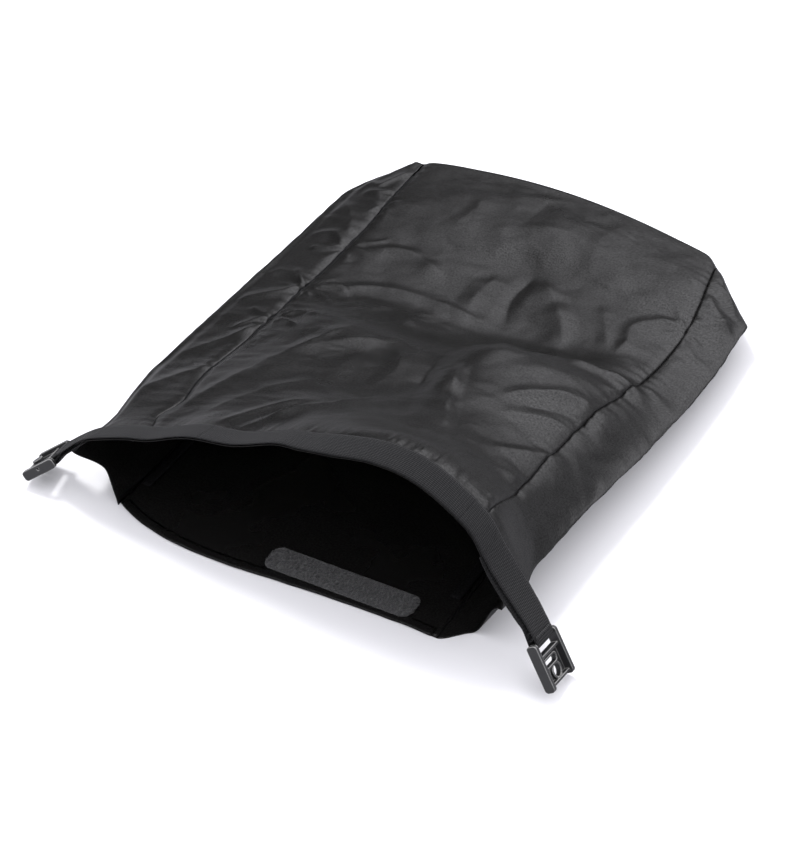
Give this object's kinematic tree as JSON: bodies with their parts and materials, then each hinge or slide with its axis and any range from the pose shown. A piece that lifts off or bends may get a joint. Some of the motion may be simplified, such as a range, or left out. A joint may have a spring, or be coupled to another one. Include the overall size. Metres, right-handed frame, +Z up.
{
  "type": "shoe bag",
  "caption": "Roll-top fabric shoe bag lying open: draped panels, side gussets, folded block base, webbing lip with buckle halves on both tails.",
  "frame": {"origin": "on the floor at the middle of the back panel's resting face, 200 mm behind the chord of the mouth", "axes": "+Y from the mouth to the folded base, +Z up from the back panel to the front panel, +X to the socket's side"},
  "size_m": [0.4573, 0.519, 0.1297],
  "materials": {
    "shell_fabric": "satin black nylon taffeta",
    "gusset_fabric": "satin black nylon taffeta",
    "webbing": "matte ribbed black webbing",
    "binding": "matte black tape",
    "hook_and_loop": "fuzzy black pile",
    "thread": "black polyester thread",
    "buckle_plastic": "moulded dark grey acetal"
  },
  "bodies": {
    "bag": {"front_panel": "shell_fabric", "back_panel": "shell_fabric", "left_gusset": "gusset_fabric", "right_gusset": "gusset_fabric", "base_panel": "shell_fabric", "left_lip_webbing": "webbing", "right_lip_webbing": "webbing", "loop_tape": "hook_and_loop", "hook_tape": "hook_and_loop", "back_lip_hem": "shell_fabric", "front_left_binding": "binding", "front_right_binding": "binding", "back_left_binding": "binding", "back_right_binding": "binding", "base_binding": "binding"},
    "front_lip": {"front_lip_webbing": "webbing"},
    "left_tail": {"left_tail_webbing": "webbing", "left_tail_bartack": "thread"},
    "right_tail": {"right_tail_webbing": "webbing", "right_tail_bartack": "thread"},
    "plug": {"buckle_plug": "buckle_plastic"},
    "latch": {"buckle_latch": "buckle_plastic"},
    "socket": {"buckle_socket": "buckle_plastic"}
  },
  "joints": [
    {"name": "mouth_close", "type": "slide", "parent": "bag", "child": "front_lip", "axis": [0, 0, -1], "range_m": [0, 0.0843], "stiffness_N_per_m": 6, "deforming": ["front_panel", "left_gusset", "right_gusset", "left_lip_webbing", "right_lip_webbing", "loop_tape", "front_left_binding", "front_right_binding"]},
    {"name": "left_tail_drop", "type": "hinge", "parent": "bag", "child": "left_tail", "pos_m": [-0.2223, -0.2294, 0.0388], "axis": [-0.1324, 0.9912, 0], "range_deg": [0, 31.15]},
    {"name": "right_tail_drop", "type": "hinge", "parent": "bag", "child": "right_tail", "pos_m": [0.2516, -0.2529, 0.0599], "axis": [-0.3672, -0.9301, 0], "range_deg": [0, 36.21]},
    {"name": "left_buckle_swivel", "type": "hinge", "parent": "left_tail", "child": "plug", "pos_m": [-0.19282, -0.22078, 0.02227], "axis": [-0.172, 0.9719, -0.161], "range_deg": [0, 80]},
    {"name": "right_buckle_swivel", "type": "hinge", "parent": "right_tail", "child": "socket", "pos_m": [0.21961, -0.2409, 0.03328], "axis": [0, -0.9885, 0.1509], "range_deg": [0, 80]},
    {"name": "latch_press", "type": "hinge", "parent": "plug", "child": "latch", "pos_m": [-0.20131, -0.22349, 0.01498], "axis": [0.172, -0.9719, 0.161], "range_deg": [0, 8], "stiffness_Nm_per_rad": 0.05}
  ],
  "couplings": [
    {"joint": "left_tail_drop", "follows": "mouth_close", "rad_per_m": 6.445},
    {"joint": "right_tail_drop", "follows": "mouth_close", "rad_per_m": 7.492}
  ]
}
